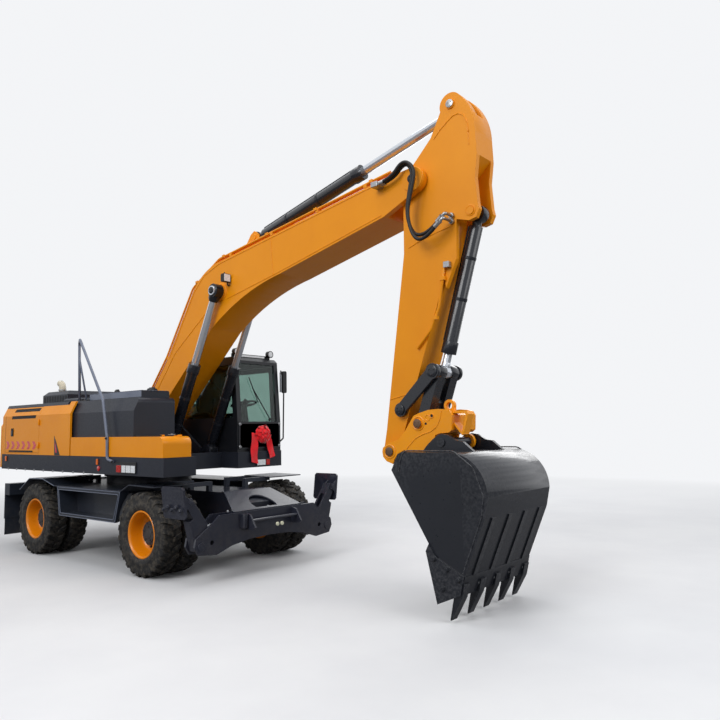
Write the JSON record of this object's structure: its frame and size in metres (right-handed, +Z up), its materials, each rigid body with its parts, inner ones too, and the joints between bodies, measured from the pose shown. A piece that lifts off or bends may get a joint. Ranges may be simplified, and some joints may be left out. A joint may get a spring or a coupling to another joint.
{
  "type": "wheeled excavator",
  "caption": "Wheeled excavator on twin tyres with a one-piece boom, arm, toothed bucket on a coupler, side cab, engine house and folding front supports.",
  "frame": {"origin": "on the ground, below the middle of the machine's overall length and width", "axes": "+X forward to the bucket, +Y to the machine's left, +Z up"},
  "size_m": [8.903, 2.7232, 5.2594],
  "materials": {
    "orange": "gloss",
    "coupler": "gloss",
    "charcoal": "satin",
    "black": "satin",
    "chassis": "satin",
    "cast": "rough",
    "bucket": "satin",
    "cream": "satin",
    "rod": "polished",
    "tyre": "matt",
    "rim": "satin",
    "glass": "clear",
    "seat": "matt",
    "hose": "matt",
    "lens": "gloss",
    "ribbon": "matt"
  },
  "bodies": {
    "chassis": {"chassis_frame": "chassis", "front_axle": "chassis", "rear_axle": "chassis", "drive_line": "cast", "fenders_steps": "chassis", "support_frame": "chassis"},
    "knuckle_left": {"knuckle_left": "cast"},
    "knuckle_right": {"knuckle_right": "cast"},
    "steering_rod": {"steering_rod": "rod"},
    "upper": {"upper_frame": "charcoal", "counterweight": "orange", "engine_block": "cast", "engine_house": "orange", "tank_cover": "charcoal", "low_boxes": "orange", "handrails": "black", "lamps": "lens", "cab_shell": "charcoal", "cab_windows": "glass", "driver_seat": "seat", "cab_controls": "black", "cab_mirror": "black", "rosette": "ribbon"},
    "engine_hood": {"engine_hood": "charcoal", "exhaust_stack": "cream"},
    "side_door_left": {"side_door_left": "orange"},
    "side_door_right": {"side_door_right": "orange"},
    "toolbox_lid": {"toolbox_lid": "orange"},
    "cab_door": {"cab_door": "charcoal", "cab_door_window": "glass"},
    "boom": {"boom": "orange", "boom_pipes": "orange", "arm_hoses": "hose"},
    "boom_barrels": {"boom_barrels": "black"},
    "boom_rods": {"boom_rods": "rod"},
    "arm_barrel": {"arm_barrel": "black"},
    "arm_rod": {"arm_rod": "rod"},
    "arm": {"arm": "orange"},
    "bucket_barrel": {"bucket_barrel": "black"},
    "bucket_rod": {"bucket_rod": "rod"},
    "idler_links": {"idler_links": "black"},
    "h_link": {"h_link": "black"},
    "bucket": {"coupler": "coupler", "bucket": "bucket"},
    "support_leg_left": {"support_leg_left": "chassis"},
    "support_pad_left": {"support_pad_left": "chassis"},
    "support_barrel_left": {"support_barrel_left": "chassis"},
    "support_rod_left": {"support_rod_left": "rod"},
    "wheel_front_left": {"tyres_front_left": "tyre", "rims_front_left": "rim"},
    "wheel_rear_left": {"tyres_rear_left": "tyre", "rims_rear_left": "rim"},
    "support_leg_right": {"support_leg_right": "chassis"},
    "support_pad_right": {"support_pad_right": "chassis"},
    "support_barrel_right": {"support_barrel_right": "chassis"},
    "support_rod_right": {"support_rod_right": "rod"},
    "wheel_front_right": {"tyres_front_right": "tyre", "rims_front_right": "rim"},
    "wheel_rear_right": {"tyres_rear_right": "tyre", "rims_rear_right": "rim"}
  },
  "joints": [
    {"name": "upper_slew", "type": "hinge", "parent": "chassis", "child": "upper", "pos_m": [-1.775, 0, 1.2], "axis": [0, 0, 1], "continuous": true},
    {"name": "steer_left", "type": "hinge", "parent": "chassis", "child": "knuckle_left", "pos_m": [-0.075, 0.6, 0.518], "axis": [0, 0, 1], "range_deg": [-25, 25]},
    {"name": "steer_right", "type": "hinge", "parent": "chassis", "child": "knuckle_right", "pos_m": [-0.075, -0.6, 0.518], "axis": [0, 0, 1], "range_deg": [-25.5, 25.5]},
    {"name": "steering_rod_slide", "type": "slide", "parent": "chassis", "child": "steering_rod", "axis": [0, 1, 0], "range_m": [-0.1, 0.1]},
    {"name": "wheel_front_left_roll", "type": "hinge", "parent": "knuckle_left", "child": "wheel_front_left", "pos_m": [-0.075, 1.1125, 0.518], "axis": [0, 1, 0], "continuous": true},
    {"name": "wheel_front_right_roll", "type": "hinge", "parent": "knuckle_right", "child": "wheel_front_right", "pos_m": [-0.075, -1.1125, 0.518], "axis": [0, 1, 0], "continuous": true},
    {"name": "wheel_rear_left_roll", "type": "hinge", "parent": "chassis", "child": "wheel_rear_left", "pos_m": [-2.875, 1.1125, 0.518], "axis": [0, 1, 0], "continuous": true},
    {"name": "wheel_rear_right_roll", "type": "hinge", "parent": "chassis", "child": "wheel_rear_right", "pos_m": [-2.875, -1.1125, 0.518], "axis": [0, 1, 0], "continuous": true},
    {"name": "support_leg_left_swing", "type": "hinge", "parent": "chassis", "child": "support_leg_left", "pos_m": [0.815, 1.07, 0.44], "axis": [-1, 0, 0], "range_deg": [0, 110]},
    {"name": "support_pad_left_tilt", "type": "hinge", "parent": "support_leg_left", "child": "support_pad_left", "pos_m": [0.815, 1.215, 0.96], "axis": [-1, 0, 0], "range_deg": [-25, 25]},
    {"name": "support_barrel_left_turn", "type": "hinge", "parent": "chassis", "child": "support_barrel_left", "pos_m": [0.815, 0.26, 0.69], "axis": [-1, 0, 0], "range_deg": [-0.5, 8.72]},
    {"name": "support_rod_left_slide", "type": "slide", "parent": "support_barrel_left", "child": "support_rod_left", "axis": [0, 0.9978, -0.0665], "range_m": [-0.004, 0.3333]},
    {"name": "support_leg_right_swing", "type": "hinge", "parent": "chassis", "child": "support_leg_right", "pos_m": [0.815, -1.07, 0.44], "axis": [1, 0, 0], "range_deg": [0, 110]},
    {"name": "support_pad_right_tilt", "type": "hinge", "parent": "support_leg_right", "child": "support_pad_right", "pos_m": [0.815, -1.215, 0.96], "axis": [1, 0, 0], "range_deg": [-25, 25]},
    {"name": "support_barrel_right_turn", "type": "hinge", "parent": "chassis", "child": "support_barrel_right", "pos_m": [0.815, -0.26, 0.69], "axis": [1, 0, 0], "range_deg": [-0.5, 8.72]},
    {"name": "support_rod_right_slide", "type": "slide", "parent": "support_barrel_right", "child": "support_rod_right", "axis": [0, -0.9978, -0.0665], "range_m": [-0.004, 0.3333]},
    {"name": "engine_hood_lift", "type": "hinge", "parent": "upper", "child": "engine_hood", "pos_m": [-1.98, 0, 2.2], "axis": [0, 1, 0], "range_deg": [0, 55]},
    {"name": "side_door_left_swing", "type": "hinge", "parent": "upper", "child": "side_door_left", "pos_m": [-2.729, 1.2813, 1.8], "axis": [0, 0, -1], "range_deg": [0, 100]},
    {"name": "side_door_right_swing", "type": "hinge", "parent": "upper", "child": "side_door_right", "pos_m": [-2.729, -1.2813, 1.8], "axis": [0, 0, 1], "range_deg": [0, 100]},
    {"name": "toolbox_lid_lift", "type": "hinge", "parent": "upper", "child": "toolbox_lid", "pos_m": [0.025, -0.876, 1.7243], "axis": [-1, 0, 0], "range_deg": [0, 85]},
    {"name": "cab_door_swing", "type": "hinge", "parent": "upper", "child": "cab_door", "pos_m": [-1.61, 1.3053, 2.1], "axis": [0, 0, 1], "range_deg": [0, 110]},
    {"name": "boom_raise", "type": "hinge", "parent": "upper", "child": "boom", "pos_m": [-1.575, 0, 1.86], "axis": [0, -1, 0], "range_deg": [-50, 14]},
    {"name": "boom_barrels_turn", "type": "hinge", "parent": "upper", "child": "boom_barrels", "pos_m": [-0.759, 0, 1.5], "axis": [0, -1, 0], "range_deg": [-58.54, 16.75]},
    {"name": "boom_rods_slide", "type": "slide", "parent": "boom_barrels", "child": "boom_rods", "axis": [0.4266, 0, 0.9044], "range_m": [-0.7253, 0.206]},
    {"name": "arm_reach", "type": "hinge", "parent": "boom", "child": "arm", "pos_m": [3.441, 0, 4.41], "axis": [0, -1, 0], "range_deg": [-22, 80]},
    {"name": "arm_barrel_turn", "type": "hinge", "parent": "boom", "child": "arm_barrel", "pos_m": [0.725, 0, 4.335], "axis": [0, -1, 0], "range_deg": [-2.37, 7.31]},
    {"name": "arm_rod_slide", "type": "slide", "parent": "arm_barrel", "child": "arm_rod", "axis": [0.9693, 0, 0.2457], "range_m": [-0.9992, 0.2777]},
    {"name": "bucket_tilt", "type": "hinge", "parent": "arm", "child": "bucket", "pos_m": [3.039, 0, 1.524], "axis": [0, 1, 0], "range_deg": [-12, 155]},
    {"name": "idler_swing", "type": "hinge", "parent": "arm", "child": "idler_links", "pos_m": [3.188, 0, 1.963], "axis": [0, -1, 0], "range_deg": [-130.52, 10.57]},
    {"name": "h_link_swing", "type": "hinge", "parent": "idler_links", "child": "h_link", "pos_m": [3.602, 0, 2.347], "axis": [0, -1, 0], "range_deg": [-8.2, 99.96]},
    {"name": "bucket_barrel_turn", "type": "hinge", "parent": "arm", "child": "bucket_barrel", "pos_m": [4.08, 0, 3.949], "axis": [0, -1, 0], "range_deg": [-0.72, 3.29]},
    {"name": "bucket_rod_slide", "type": "slide", "parent": "bucket_barrel", "child": "bucket_rod", "axis": [-0.2859, 0, -0.9583], "range_m": [-0.0852, 1.0523]}
  ],
  "couplings": [
    {"joint": "steer_right", "follows": "steer_left", "ratio": 1},
    {"joint": "steering_rod_slide", "follows": "steer_left", "m_per_rad": 0.218},
    {"joint": "support_barrel_left_turn", "follows": "support_leg_left_swing", "ratio": 0.074709},
    {"joint": "support_rod_left_slide", "follows": "support_leg_left_swing", "m_per_rad": 0.1715},
    {"joint": "support_barrel_right_turn", "follows": "support_leg_right_swing", "ratio": 0.074709},
    {"joint": "support_rod_right_slide", "follows": "support_leg_right_swing", "m_per_rad": 0.1715},
    {"joint": "boom_barrels_turn", "follows": "boom_raise", "ratio": 1.1608},
    {"joint": "boom_rods_slide", "follows": "boom_raise", "m_per_rad": 0.82656},
    {"joint": "arm_barrel_turn", "follows": "arm_reach", "ratio": 0.08518},
    {"joint": "arm_rod_slide", "follows": "arm_reach", "m_per_rad": -0.71274},
    {"joint": "idler_swing", "follows": "bucket_tilt", "ratio": -0.83883},
    {"joint": "h_link_swing", "follows": "bucket_tilt", "ratio": 0.64168},
    {"joint": "bucket_barrel_turn", "follows": "bucket_tilt", "ratio": 0.017969},
    {"joint": "bucket_rod_slide", "follows": "bucket_tilt", "m_per_rad": 0.3875}
  ]
}
